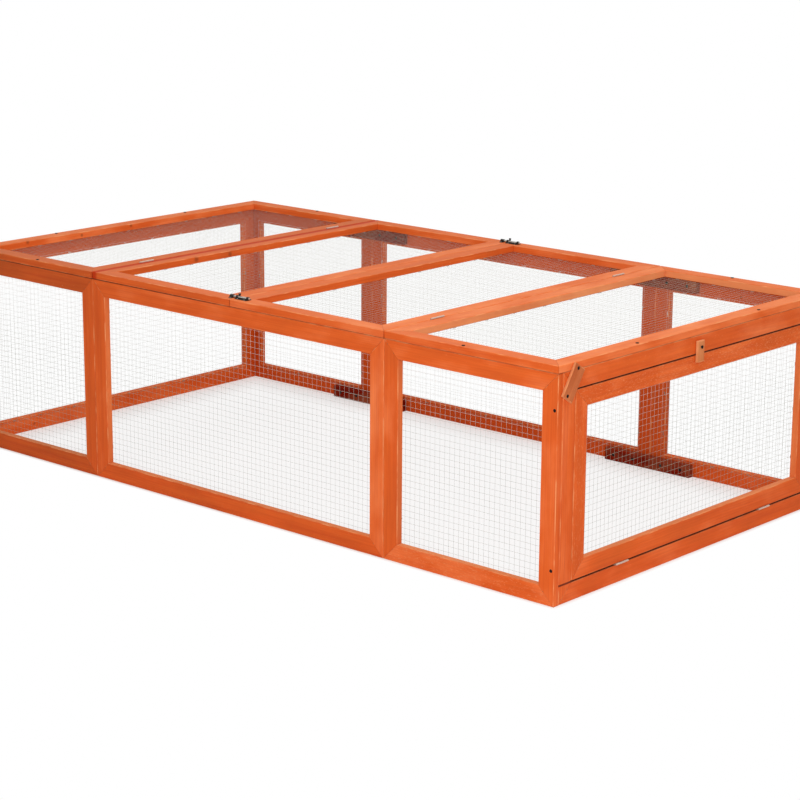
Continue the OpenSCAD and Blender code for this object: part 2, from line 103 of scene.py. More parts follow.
# Each frame's plane, the tones of its lower or front rail, its upper or back rail and
# its two stiles (a higher tone is a paler board), and the joints that show
FRAMES = {
    "front_left_frame": ("side", (0.74, 0.72, 0.87, 0.9), (UNDER_ROOF,)),
    "front_centre_frame": ("side", (0.91, 0.96, 0.97, 1.04), (UNDER_ROOF,)),
    "front_right_frame": ("side", (1.02, 0.96, 0.96, 0.97), (UNDER_ROOF,)),
    "back_left_frame": ("side", (0.85, 0.8, 0.78, 0.8), ()),
    "back_centre_frame": ("side", (0.75, 0.95, 0.9, 0.8), ()),
    "back_right_frame": ("side", (0.96, 0.9, 0.8, 0.9), ()),
    "plain_end_frame": ("end", (1.0, 0.82, 0.85, 0.86), ()),
    "doorway_frame": ("end", (0.97, 0.99, 0.94, 0.95), (UNDER_END, DOOR_TOP, DOOR_FOOT)),
    "door_frame": ("end", (0.94, 0.95, 0.97, 0.98), (DOOR_TOP, DOOR_FOOT)),
    "roof_left_frame": ("roof", (0.8, 0.94, 1.02, 0.84), (LID_STEP,)),
    "left_lid_frame": ("roof", (0.9, 0.98, 0.88, 1.0), (LID_STEP,)),
    "right_lid_frame": ("roof", (1.0, 0.95, 0.92, 1.03), (UNDER_END,)),
    "roof_right_frame": ("roof", (0.95, 0.94, 1.04, 1.06), (UNDER_END,)),
}
# Knots that show in the photograph, as points and radii. They come out of the inner
# edges of two boards
KNOTS = {
    "roof_left_frame": ((-0.8685, -0.337, 0.487, 6.0 * MM),
                        (-0.8685, -0.163, 0.482, 5.0 * MM),
                        (-0.8685, 0.002, 0.486, 5.5 * MM)),
    "left_lid_frame": ((-0.4135, -0.195, 0.484, 9.0 * MM),
                       (-0.4135, -0.084, 0.482, 7.5 * MM)),
}
# Boards with pale specks where the stain didn't take, in the order of the tones
SPECKS = {
    "door_frame": (0.1, 1.0, 0.8, 0.2),
    "doorway_frame": (0.1, 0.5, 0.1, 0.1),
    "front_right_frame": (0.9, 0.2, 0.1, 0.2),
    "back_right_frame": (0.6, 0.2, 0.4, 0.2),
}
EVEN = (0.2, 0.2, 0.2, 0.2)
# Frames that show their inner faces, and how deep the stain on those is
INSIDE = {"plain_end_frame": 0.25, "back_left_frame": 0.5, "back_centre_frame": 0.5,
          "back_right_frame": 0.35}
# How far the inner sawn edges are paler than the faces, where it isn't 0.16
EDGES = {"roof_left_frame": 0.0, "left_lid_frame": 0.0, "right_lid_frame": 0.0,
         "roof_right_frame": 0.35}
NETS = {name.replace("_frame", "_net"): plane
        for name, (plane, _, _) in FRAMES.items() if name != "doorway_frame"}
# Noise in the wood: waves per metre along, across and through the board, and detail.
# Streaks are 6 to 9 mm wide and a hand long, fibres about 2 mm wide, specks a few
# millimetres long, and an arris is rubbed for a few centimetres at a time
WOOD_NOISE = {
    "wander": ((2.2, 10, 10), 2.0), "streak": ((3, 110, 110), 3.0),
    "fibre": ((14, 460, 460), 1.0), "blotch": ((7, 16, 16), 3.0),
    "speck": ((150, 640, 640), 2.0), "rub": ((26, 70, 70), 4.0),
}
# Distance in knot radii at which no knot shows
NO_KNOT = 10.0
# Settings that several shader nodes share
RGBA = {"data_type": "RGBA"}
SMOOTH = {"interpolation_type": "SMOOTHSTEP"}
CLAMPED_SUM = {"operation": "MULTIPLY_ADD", "use_clamp": True}


# ---- Properties ----

def number(name, text, default, unit="LENGTH"):
    """A number that can be set in the panel."""
    return bpy.props.FloatProperty(name=name, description=text, default=default, unit=unit)


def amount(name, text, default):
    """A number without a unit of Blender's."""
    return number(name, text, default, "NONE")


def tint(name, text, default):
    """A colour that can be set in the panel."""
    return bpy.props.StringProperty(
        name=name, description="sRGB hex colour of " + text, default=default)


class RunWood(bpy.types.PropertyGroup):
    """Sizes and colours of the stained boards."""

    board_width: number("Board width", "Width of the frame boards", 39 * MM)
    ring_spacing: number("Ring spacing", "Distance between growth rings", 4.6 * MM)
    light: tint("Early wood", "the stain on early wood", "#EE6A26")
    deep: tint("Late wood", "the stain on late wood", "#CE460F")
    worn: tint("Worn edge", "the rubbed edges", "#F2A26C")
    pale: tint("Pale", "bleached tops and thirsty edges", "#F6B880")
    inside: tint("Inside", "the stain on unbleached inner faces", "#C03C02")
    seam: tint("Seam", "the dirt in the joints", "#521204")
    step: tint("Step", "the board's side beside the left lid", "#C23400")
    knot: tint("Knot", "the knots", "#7A3010")
    block: tint("Block", "the joining blocks", "#861800")
    block_deep: tint("Block grain", "the joining blocks' grain", "#520A00")


class RunWire(bpy.types.PropertyGroup):
    """Sizes and colours of the netting and its staples."""

    pitch: number("Pitch", "Distance between neighbouring wires", 13.3 * MM)
    diameter: number("Wire", "Diameter of a wire", 0.45 * MM)
    thin: number("Thin wire", "Diameter of a wire in the roof and the far sides", 0.28 * MM)
    weld: number("Weld", "Half the width of the zinc blob on a crossing", 0.45 * MM)
    bulge: number("Bulge", "How far the netting bows out of its plane", 0.4 * MM)
    wobble: number("Wobble", "How far the wires wander within the plane", 0.35 * MM)
    zinc: tint("Zinc", "the upper sides of clean wire", "#F2F3EE")
    zinc_dull: tint("Dull zinc", "the other sides of clean wire", "#E8E9E4")
    damp: tint("Damp zinc", "the upper sides of wire in grass", "#B2B4A0")
    damp_dull: tint("Dull damp zinc", "the other sides of wire in grass", "#7E8072")
    weathered: tint("Roof zinc", "the upper sides of the roof's wire", "#C6C8B8")
    weathered_dull: tint("Dull roof zinc", "the other sides of the roof's wire", "#A2A496")
    grass: number("Grass", "Height to which grass darkens the outer netting", 0.33)
    staple_crown: number("Staple", "Width of a staple's crown", 9 * MM)
    staple_every: number("Staple spacing", "Distance between staples on a board", 95 * MM)
    lap: number("Lap", "How far the netting laps over the boards", 6 * MM)


class RunBolt(bpy.types.PropertyGroup):
    """Sizes of the barrel bolts and the screws."""

    strap: number("Strap", "Width of a strap over the rod", 6 * MM)
    strap_wall: number("Strap wall", "Thickness of the straps", 1 * MM)
    plate: number("Plate", "Thickness of the base plates", 1.2 * MM)
    rod: number("Rod", "Radius of the rod", 2.5 * MM)
    rod_rise: number("Rod height", "Height of the rod's middle above the lid", 3.75 * MM)
    knob_x: number("Knob", "Place of the knob along X with the bolt shut", 11.9 * MM)
    head: number("Screw head", "Radius of a wood screw's head", 3.6 * MM)
    head_height: number("Head height", "Height of a wood screw's head", 2.2 * MM)
    shank: number("Shank", "Radius of a wood screw's shank", 2 * MM)


class RunStage(bpy.types.PropertyGroup):
    """Floor, lamps and camera."""

    floor: tint("Floor", "the floor", "#FAF9F8")
    under: amount("Under the run", "Share of white that the camera sees in the run", 0.78)
    foot: amount("At the foot", "Share of white that the camera sees by the rails", 0.4)
    fade: number("Fade", "Width of the floor's fade to white round the run", 12 * MM)
    lens: amount("Lens", "Focal length for a sensor 36 mm wide, in millimetres", 102.70)
    azimuth: number("Azimuth", "Turn of the view from straight along Y",
                    math.radians(41.748), "ROTATION")
    elevation: number("Elevation", "Height of the view above level",
                      math.radians(14.299), "ROTATION")
    roll: number("Roll", "Turn of the picture about its middle", math.radians(0.376),
                 "ROTATION")
    distance: number("Distance", "Distance of the camera from the run's middle", 5.3789)
    pan_right: number("Pan right", "Offset of the camera to its right", 0.04896)
    pan_up: number("Pan up", "Offset of the camera upward", -0.06373)
    overhead: amount("Overhead lamp", "Power of the overhead lamp in watts", 45)
    fill: amount("Fill lamp", "Power of the lamp beside the camera in watts", 57)
    sky: amount("Sky", "Strength of the even light from all round", 0.46)


# ---- Small helpers ----

def linear(code):
    """Linear RGBA of an sRGB hex colour."""
    srgb = np.array([int(code[k:k + 2], 16) for k in (1, 3, 5)]) / 255
    rgb = np.where(srgb <= 0.04045, srgb / 12.92, ((srgb + 0.055) / 1.055) ** 2.4)
    return (*rgb.tolist(), 1.0)


def add_node(tree, kind, inputs=(), settings=None, out=0):
    """Adds one shader node with its input values or links and its settings.

    A bare word for the settings is the node's operation. Gives the output that out
    names, or every output where it is None."""
    made = tree.nodes.new("ShaderNode" + kind)
    if isinstance(settings, str):
        settings = {"operation": settings}
    for key, value in (settings or {}).items():
        setattr(made, key, value)
    pairs = inputs.items() if isinstance(inputs, dict) else enumerate(inputs)
    for key, value in pairs:
        if isinstance(value, bpy.types.NodeSocket):
            tree.links.new(value, made.inputs[key])
        else:
            made.inputs[key].default_value = value
    return made.outputs if out is None else made.outputs[out]


def emptied(owner):
    """A material or a world without its nodes, and what adds nodes to it."""
    owner.use_nodes = True
    owner.node_tree.nodes.clear()
    return owner, partial(add_node, owner.node_tree)


def finish_material(add, **sockets):
    """Principled shader with these inputs, joined to the output."""
    names = {key.replace("_", " "): value for key, value in sockets.items()}
    add("OutputMaterial", {"Surface": add("BsdfPrincipled", names)}, out=None)


def dress(piece, material):
    """Gives a piece one material."""
    piece.data.materials.clear()
    piece.data.materials.append(material)


def new_piece(name, surface, material, body=None):
    """A mesh object at the origin from whole arrays of corners and of faces."""
    verts, faces = surface
    mesh = bpy.data.meshes.new(name)
    mesh.from_pydata(verts.reshape(-1, 3).tolist(), [], outward(verts, faces).tolist())
    mesh.validate()
    mesh.update()
    piece = bpy.data.objects.new(name, mesh)
    bpy.context.scene.collection.objects.link(piece)
    dress(piece, material)
    if body:
        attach(piece, body)
    return piece


def node_box(name):
    """Lowest and highest corner of a CAD node as arrays."""
    low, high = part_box(name)
    return np.array(low), np.array(high)


def solids_of(name):
    """Boxes (n, 2, 3) of the separate solids in a CAD node.

    Corners at one place are one point, and each triangle hands its lowest label to
    its corners until nothing changes."""
    mesh = frame["nodes"][name].data
    mesh.calc_loop_triangles()
    spots = np.zeros(len(mesh.vertices) * 3, np.float32)
    mesh.vertices.foreach_get("co", spots)
    corners = np.zeros(len(mesh.loop_triangles) * 3, np.int32)
    mesh.loop_triangles.foreach_get("vertices", corners)
    spots, same = np.unique(np.round(spots.reshape(-1, 3), 6), axis=0, return_inverse=True)
    faces = same.ravel()[corners].reshape(-1, 3)
    label = np.arange(len(spots))
    while True:
        lower = label.copy()
        np.minimum.at(lower, faces.ravel(), np.repeat(label[faces].min(1), 3))
        if (lower == label).all():
            break
        label = lower
    groups = [spots[label == k] for k in np.unique(label)]
    return np.array([[g.min(0), g.max(0)] for g in groups], float)


# ---- Surfaces ----

def outward(verts, faces):
    """The faces, turned round where the volume that they enclose is negative.

    The volume is a sixth of the sum of a . (b x c) over the triangles."""
    points = verts.reshape(-1, 3)
    a, b, c = (points[faces[:, k]] for k in range(3))
    volume = np.einsum("ij,ij->", a, np.cross(b, c))
    return faces[:, ::-1] if volume < 0 else faces


def joined(surfaces):
    """Several surfaces as one."""
    starts = np.cumsum([0] + [len(verts) for verts, _ in surfaces])
    return (np.concatenate([verts for verts, _ in surfaces]),
            np.concatenate([outward(verts, faces) + start
                            for (verts, faces), start in zip(surfaces, starts)]))


def skin(rings):
    """Closed surfaces through rings of points, shape (count, m, n, 3).

    Neighbouring rings are joined by pairs of triangles, and a fan about the middle of
    its points closes the first ring and the last."""
    count, m, n, _ = rings.shape
    caps = rings[:, [0, -1]].mean(2)
    verts = np.concatenate([rings.reshape(count, m * n, 3), caps], 1)
    k, j = np.meshgrid(np.arange(m - 1) * n, np.arange(n), indexing="ij")
    a, b = (k + j).ravel(), (k + (j + 1) % n).ravel()
    side = np.concatenate([np.stack([a, b, b + n], 1), np.stack([a, b + n, a + n], 1)])
    j = np.arange(n)
    first = np.stack([(j + 1) % n, j, np.full(n, m * n)], 1)
    last = np.stack([j, (j + 1) % n, np.full(n, n + 1)], 1) + (m - 1) * n
    faces = np.concatenate([side, first, last])
    faces = np.arange(count)[:, None, None] * (m * n + 2) + faces
    return verts.reshape(-1, 3), faces.reshape(-1, 3)


def carried(path, level, section):
    """A section carried along flat paths, shape (count, m, 3).

    A point is the path's point plus a times level, the unit vector square to the
    path's plane, plus b times level x tangent, for each (a, b) of the section."""
    tangent = np.gradient(path, axis=1)
    tangent /= np.linalg.norm(tangent, axis=2, keepdims=True)
    level = np.broadcast_to(level, path.shape)
    normal = np.cross(level, tangent)
    return skin(path[:, :, None] + section[:, :1] * level[:, :, None]
                + section[:, 1:] * normal[:, :, None])


def turned(radius, height, foot, axis, sides=20):
    """A turned shape: circles of the given radii at the given heights along an axis."""
    angle = np.arange(sides) * 2 * np.pi / sides
    spots = np.zeros((1, len(radius), sides, 3))
    spots[0, :, :, (axis + 1) % 3] = np.outer(radius, np.cos(angle))
    spots[0, :, :, (axis + 2) % 3] = np.outer(radius, np.sin(angle))
    spots[0, :, :, axis] = np.asarray(height)[:, None]
    return skin(spots + np.asarray(foot))


def oblong(width, height, ease):
    """Outline of a rectangle with eased corners, eight points."""
    x, y = width / 2, height / 2
    corner = np.array([[x, y - ease], [x - ease, y]])
    half = np.concatenate([corner, corner[::-1] * (-1, 1)])
    return np.concatenate([half, -half])


def plate(low, high, corner, edge):
    """A flat plate with rounded corners and a softened upper edge.

    Its outline is a quarter circle about each corner's middle, drawn in by the edge
    radius on the topmost ring."""
    angle = (np.arange(4)[:, None] + np.linspace(0, 1, 6)) * np.pi / 2
    side = np.array([[1, 1], [-1, 1], [-1, -1], [1, -1]])
    half, middle = (high - low)[:2] / 2, (high + low)[:2] / 2
    rings = []
    for z, inset in ((low[2], 0), (high[2] - edge, 0), (high[2] - edge * 0.3, edge * 0.3),
                     (high[2], edge)):
        centre = side * (half - corner)
        arc = np.stack([np.cos(angle), np.sin(angle)], -1) * (corner - inset)
        outline = (centre[:, None] + arc).reshape(-1, 2) + middle
        rings.append(np.column_stack([outline, np.full(len(outline), z)]))
    return skin(np.array(rings)[None])


def screws(heads, axis, facing, sizes, recess, dome, random):
    """Screws with a cross recess in the head.

    Rings of the radii and depths in sizes run from the head's middle to the tip. On the
    head a point sinks by the recess where it lies within an arm of the cross, whose half
    width is a sixth of the head's radius, and rises by the dome times one less the
    square of its share of that radius."""
    radius, depth, top = sizes
    sides = 32
    angle = np.arange(sides) * 2 * np.pi / sides
    share = radius / radius[top - 1]
    arm = share[:, None] * np.minimum(np.abs(np.sin(angle)), np.abs(np.cos(angle)))
    sunk = (np.clip((0.19 - arm) / 0.06, 0, 1)
            * np.clip((0.68 - share[:, None]) / 0.08, 0, 1) * recess)
    height = (dome * (1 - share ** 2))[:, None] - sunk
    height = np.where(np.arange(len(radius))[:, None] < top, height, 0) - depth[:, None]
    twist = angle + random.uniform(0, np.pi / 2, (len(heads), 1, 1))
    facing = facing[:, None, None]
    spots = np.zeros((len(heads), len(radius), sides, 3))
    spots[..., (axis + 1) % 3] = radius[:, None] * np.cos(twist)
    # Mirrored where the screw points down its axis, so that its faces face outward
    spots[..., (axis + 2) % 3] = radius[:, None] * np.sin(twist) * facing
    spots[..., axis] = height * facing
    return skin(spots + heads[:, None, None])


# ---- Stained softwood ----

def span(add, across, up):
    """Length of the vector that two values make."""
    flat = add("CombineXYZ", (across, up, 0.0))
    return add("VectorMath", (flat,), "LENGTH", "Value")


def least(add, values):
    """Smallest of several values."""
    return reduce(lambda low, value: add("Math", (low, value), "MINIMUM"), values)


def frame_layout(add, plane, middle, half, board, tones, specks, seams, knots, seed):
    """Board coordinates of a mitred frame.

    u and v run across the frame and w through it. A point belongs to the rail or the
    stile whose outer edge is nearer, so they meet on the mitre line. Spot is along the
    board, from its middle line and through it; mitre, arris and knot are distances,
    the last in knot radii; inward is 1 on faces toward the frame's middle."""
    place = add("TexCoord", out="Object")
    world = add("SeparateXYZ", (place,), out=None)
    seam = [0.0]
    for axis, where, reach, strength in seams:
        away = add("Math", (world[axis], where), "SUBTRACT")
        away = add("Math", (away,), "ABSOLUTE")
        line = add("MapRange", (away, reach * 0.35, reach, -strength, 0))
        if axis == 2:
            fading = add("MapRange", (world["X"], *LINE_FADE))
            line = add("Math", (line, fading), "MULTIPLY")
        seam.append(line)
    place = add("VectorMath", (place, middle.tolist()), "SUBTRACT")
    turned_out = add("VectorMath", (place, add("TexCoord", out="Normal")), "DOT_PRODUCT",
                     "Value")
    split = add("SeparateXYZ", (place,), out=None)
    axes = PLANES[plane]
    u, v, w = (split[k] for k in axes)
    sides = []
    for value, size in zip((u, v, w), half[axes].tolist()):
        flat = add("Math", (value,), "ABSOLUTE")
        sides.append(add("Math", (size, flat), "SUBTRACT"))
    rail = add("Math", (sides[1], sides[0]), "LESS_THAN")
    along = add("Mix", {0: rail, 2: v, 3: u})
    across = add("Mix", {0: rail, 2: u, 3: v})
    far_side = add("Math", (across, 0.0), "GREATER_THAN")
    edge = least(add, sides[:2])
    inner = add("Math", (board, edge), "SUBTRACT")
    mitre = add("Math", sides[:2], "SUBTRACT")
    middle_line = add("Math", (edge, board / 2), "SUBTRACT")
    own = []
    for front, back, left, right in (tones, specks):
        rails = add("Mix", {0: far_side, 2: front, 3: back})
        stiles = add("Mix", {0: far_side, 2: left, 3: right})
        own.append(add("Mix", {0: rail, 2: stiles, 3: rails}))
    near = [NO_KNOT]
    for centre, radius, through in knots:
        # A knot that goes through the board keeps its outline at every depth
        spot = add("CombineXYZ", (u, v, 0.0 if through else w))
        away = add("VectorMath", (spot, centre), "DISTANCE", "Value")
        near.append(add("Math", (away, radius), "DIVIDE"))
    return {
        "spot": add("CombineXYZ", (along, middle_line, w)),
        "mitre": add("Math", (mitre,), "ABSOLUTE"),
        "arris": span(add, least(add, (edge, inner)), sides[2]),
        "tone": own[0],
        "specks": own[1],
        "chance": add("CombineXYZ", (rail, far_side, seed)),
        "seam": least(add, seam),
        "knot": least(add, near),
        "inward": add("Math", (turned_out, 0.0), "LESS_THAN"),
    }


def stick_layout(add, plane, middle, size, tilt, folded, seed):
    """Board coordinates of short sticks in a panel plane.

    Mirrored sticks fold onto one along the folded axes, and it is laid level by turning
    it back by its tilt. Mitres are a metre away, and there is no joint and no knot."""
    split = add("SeparateXYZ", (add("TexCoord", out="Object"),), out=None)
    spot = [split[k] for k in PLANES[plane]]
    far_sides = [add("Math", (spot[k], 0.0), "GREATER_THAN") for k in (0, 2)]
    for k in folded:
        spot[k] = add("Math", (spot[k],), "ABSOLUTE")
    spot = add("VectorMath", (add("CombineXYZ", spot), middle), "SUBTRACT")
    spot = add("VectorRotate", {"Vector": spot, "Angle": -tilt},
               {"rotation_type": "Z_AXIS"})
    gaps = []
    for value, length in zip(add("SeparateXYZ", (spot,), out=None), size):
        flat = add("Math", (value,), "ABSOLUTE")
        gaps.append(add("Math", (length / 2, flat), "SUBTRACT"))
    rims = [span(add, gaps[a], gaps[b]) for a, b in ((0, 1), (1, 2), (0, 2))]
    return {"spot": spot, "mitre": 1.0, "arris": least(add, rims), "tone": 1.0,
            "specks": 0.5, "chance": add("CombineXYZ", (*far_sides, seed)),
            "seam": 0.0, "knot": NO_KNOT, "inward": 1.0}


def wood_pattern(add, layout, ring_spacing):
    """Growth rings, streaks and fibres of flat-sawn fir.

    The rings are circles about a pith line that runs along the board, beside and
    below it, at a place that differs from board to board and wanders on the way, and
    they bow round knots. Gives how deep the stain looks (0 to 1), a slow blotch, pale
    specks where pores took no stain, and how much an arris is rubbed."""
    random = add("TexWhiteNoise", {"Vector": layout["chance"]}, {"noise_dimensions": "3D"},
                 "Color")
    moved = add("VectorMath", (random, (7, 7, 7), layout["spot"]), "MULTIPLY_ADD")
    noise = {}
    for name, (scale, detail) in WOOD_NOISE.items():
        at = add("Mapping", {"Vector": moved, "Scale": scale})
        noise[name] = add("TexNoise", {"Vector": at, "Scale": 1.0, "Detail": detail})

    first, second, _ = add("SeparateXYZ", (random,), out=None)
    _, beside, through = add("SeparateXYZ", (layout["spot"],), out=None)
    pith_side = add("MapRange", (first, 0, 1, -0.06, 0.06))
    pith_deep = add("MapRange", (second, 0, 1, -0.05, -0.02))
    side = add("Math", (beside, pith_side), "SUBTRACT")
    deep = add("Math", (through, pith_deep), "SUBTRACT")
    radius = add("Math", (noise["wander"], 24 * MM, span(add, side, deep)), "MULTIPLY_ADD")
    pushed = add("MapRange", (layout["knot"], 0, 5, 7 * MM, 0), SMOOTH)
    radius = add("Math", (radius, pushed), "ADD")
    ring = add("Math", (radius, ring_spacing), "DIVIDE")
    ring = add("Math", (ring,), "FRACT")
    rise = add("MapRange", (ring, 0.3, 0.85, 0, 1), SMOOTH)
    fall = add("MapRange", (ring, 0.93, 1.0, 1, 0))
    late = add("Math", (rise, fall), "MULTIPLY")

    # Late wood, streaks and fibres make the stain deeper
    faint = add("MapRange", (noise["blotch"], 0.35, 0.65, 0.04, 0.2))
    depth = add("Math", (late, faint), "MULTIPLY")
    for key, share in (("streak", 0.4), ("fibre", 0.18)):
        value = add("MapRange", (noise[key], 0.3, 0.7, 0, 1))
        depth = add("Math", (value, share, depth), CLAMPED_SUM)

    bare = add("MapRange", (layout["specks"], 0, 1, 0.74, 0.58))
    speck = add("Math", (noise["speck"], bare), "SUBTRACT")
    speck = add("MapRange", (speck, 0, 0.05, 0, 0.34))
    rub = add("MapRange", (noise["rub"], 0.42, 0.68, 0.08, 0.7), SMOOTH)
    return depth, noise["blotch"], speck, rub


def stained_wood(name, wood, make_layout, through, bleach, gloss, **codes):
    """Dresses a node in fir, planed and dipped in an orange glazing stain.

    The glaze sinks into early wood, stands redder on late wood and is rubbed pale in
    patches along arrises and mitres. Through is the axis across the board's faces, and
    its sign tells which face looks outward; bleach gives how far tops and sawn edges
    are pale and how far the inner face is deep. Codes replace the colours they name."""
    material, add = emptied(bpy.data.materials.new("stained_fir_" + name))
    layout = make_layout(add)
    names = ("light", "deep", "pale", "inside", "knot", "worn", "seam")
    dye = {key: linear(codes.get(key) or getattr(wood, key)) for key in names}
    top_pale, edge_pale, inner_deep = bleach
    depth, blotch, speck, rub = wood_pattern(add, layout, wood.ring_spacing)
    stain = {0: depth, 6: dye["light"], 7: dye["deep"]}
    shade = add("MapRange", (blotch, 0.3, 0.7, 0.88, 1.1))
    shade = add("Math", (shade, layout["tone"]), "MULTIPLY")
    colour = add("VectorMath", {0: add("Mix", stain, RGBA, 2), "Scale": shade}, "SCALE")

    # Paler boards take less stain, tops are bleached, and sawn edges are thirsty
    facing = add("SeparateXYZ", (add("TexCoord", out="Normal"),), out=None)
    axis, outward_sign = through
    up = add("MapRange", (facing["Z"], 0.5, 0.95, 0, top_pale))
    flat = add("Math", (facing[axis],), "ABSOLUTE")
    sawn = add("MapRange", (flat, 0.3, 0.7, edge_pale, 0))
    sawn = add("Math", (sawn, layout["inward"]), "MULTIPLY")
    pale = add("MapRange", (shade, 0.95, 1.95, 0, 1.2), {"clamp": False})
    for value, operation in ((0.0, "MAXIMUM"), (up, "ADD"), (sawn, "ADD")):
        pale = add("Math", (pale, value), operation)
    inner = add("Math", (facing[axis], -outward_sign), "MULTIPLY")
    inner = add("MapRange", (inner, 0.5, 0.9, 0, inner_deep))
    core = add("MapRange", (layout["knot"], 0.2, 1.2, 0.6, 0), SMOOTH)

    # Rubbed arrises: a line about 2 mm wide that comes and goes
    line = add("MapRange", (layout["arris"], 1.1 * MM, 2.1 * MM, 1, 0), SMOOTH)
    line = add("Math", (line, rub), "MULTIPLY")
    # Filled and sanded mitres: pale only in spots
    spot = add("MapRange", (layout["mitre"], 1.2 * MM, 2.6 * MM, 1, 0))
    spots = add("MapRange", (rub, 0.45, 0.9, 0, 0.7))
    spot = add("Math", (spot, spots), "MULTIPLY")
    worn = add("Math", (line, speck), "MAXIMUM")
    worn = add("Math", (worn, spot), "MAXIMUM")
    # The closed mitre: a faint red hairline, drawn 0.8 mm wide so that it shows
    joint = add("MapRange", (layout["mitre"], 0.3 * MM, 0.7 * MM, 0.25, 0))
    dirt = add("Math", (layout["seam"], -1.0, 0.0), CLAMPED_SUM)
    coats = ((pale, "pale"), (inner, "inside"), (core, "knot"), (worn, "worn"),
             (joint, "knot"), (dirt, "seam"))
    for share, key in coats:
        colour = add("Mix", {0: share, 6: colour, 7: dye[key]}, RGBA, 2)

    roughness = add("MapRange", (depth, 0, 1, 0.72, 0.6))
    bump = add("Bump", {"Strength": 0.4, "Distance": 0.2 * MM, "Height": depth})
    finish_material(add, Base_Color=colour, Roughness=roughness, IOR=1.4,
                    Specular_IOR_Level=gloss, Normal=bump)
    dress(frame["nodes"][name], material)


# ---- Metals ----

def galvanised_wire(name, clean, damp, grass):
    """Hot-dipped zinc on drawn wire: dull grey with a fine spangle, pale above.

    Clean and damp are pairs of colours, for the upper sides and the others. Damp grass
    turns the wire darker up to the height called grass."""
    material, add = emptied(bpy.data.materials.new(name))
    place = add("TexCoord", out="Object")
    grain = add("TexNoise", {"Vector": place, "Scale": 260.0, "Detail": 2.0})
    up = add("SeparateXYZ", (add("TexCoord", out="Normal"),), out="Z")
    up = add("MapRange", (up, -0.1, 0.7, 0, 1))
    height = add("SeparateXYZ", (place,), out="Z")
    dry = add("MapRange", (height, grass - 0.06, grass + 0.09, 0, 1))
    upper, lower = (add("Mix", {0: up, 6: linear(dull), 7: linear(pale)}, RGBA, 2)
                    for pale, dull in (clean, damp))
    colour = add("Mix", {0: dry, 6: lower, 7: upper}, RGBA, 2)
    shade = add("MapRange", (grain, 0.3, 0.7, 0.85, 1.1))
    colour = add("VectorMath", {0: colour, "Scale": shade}, "SCALE")
    roughness = add("MapRange", (grain, 0.3, 0.7, 0.4, 0.6))
    finish_material(add, Base_Color=colour, Roughness=roughness, Metallic=0.3)
    return material


def plated_metal(name, code, dark, metallic, rough, gloss=0.5):
    """Pressed steel with a thin plating: brushed by handling, duller in the hollows."""
    material, add = emptied(bpy.data.materials.new(name))
    place = add("TexCoord", out="Object")
    grain = add("TexNoise", {"Vector": place, "Scale": 420.0, "Detail": 3.0})
    share = add("MapRange", (grain, 0.3, 0.7, 0, 1))
    colour = add("Mix", {0: share, 6: linear(dark), 7: linear(code)}, RGBA, 2)
    roughness = add("MapRange", (grain, 0.3, 0.7, rough, rough + 0.18))
    finish_material(add, Base_Color=colour, Roughness=roughness, Metallic=metallic,
                    Specular_IOR_Level=gloss)
    return material


# ---- Operators ----

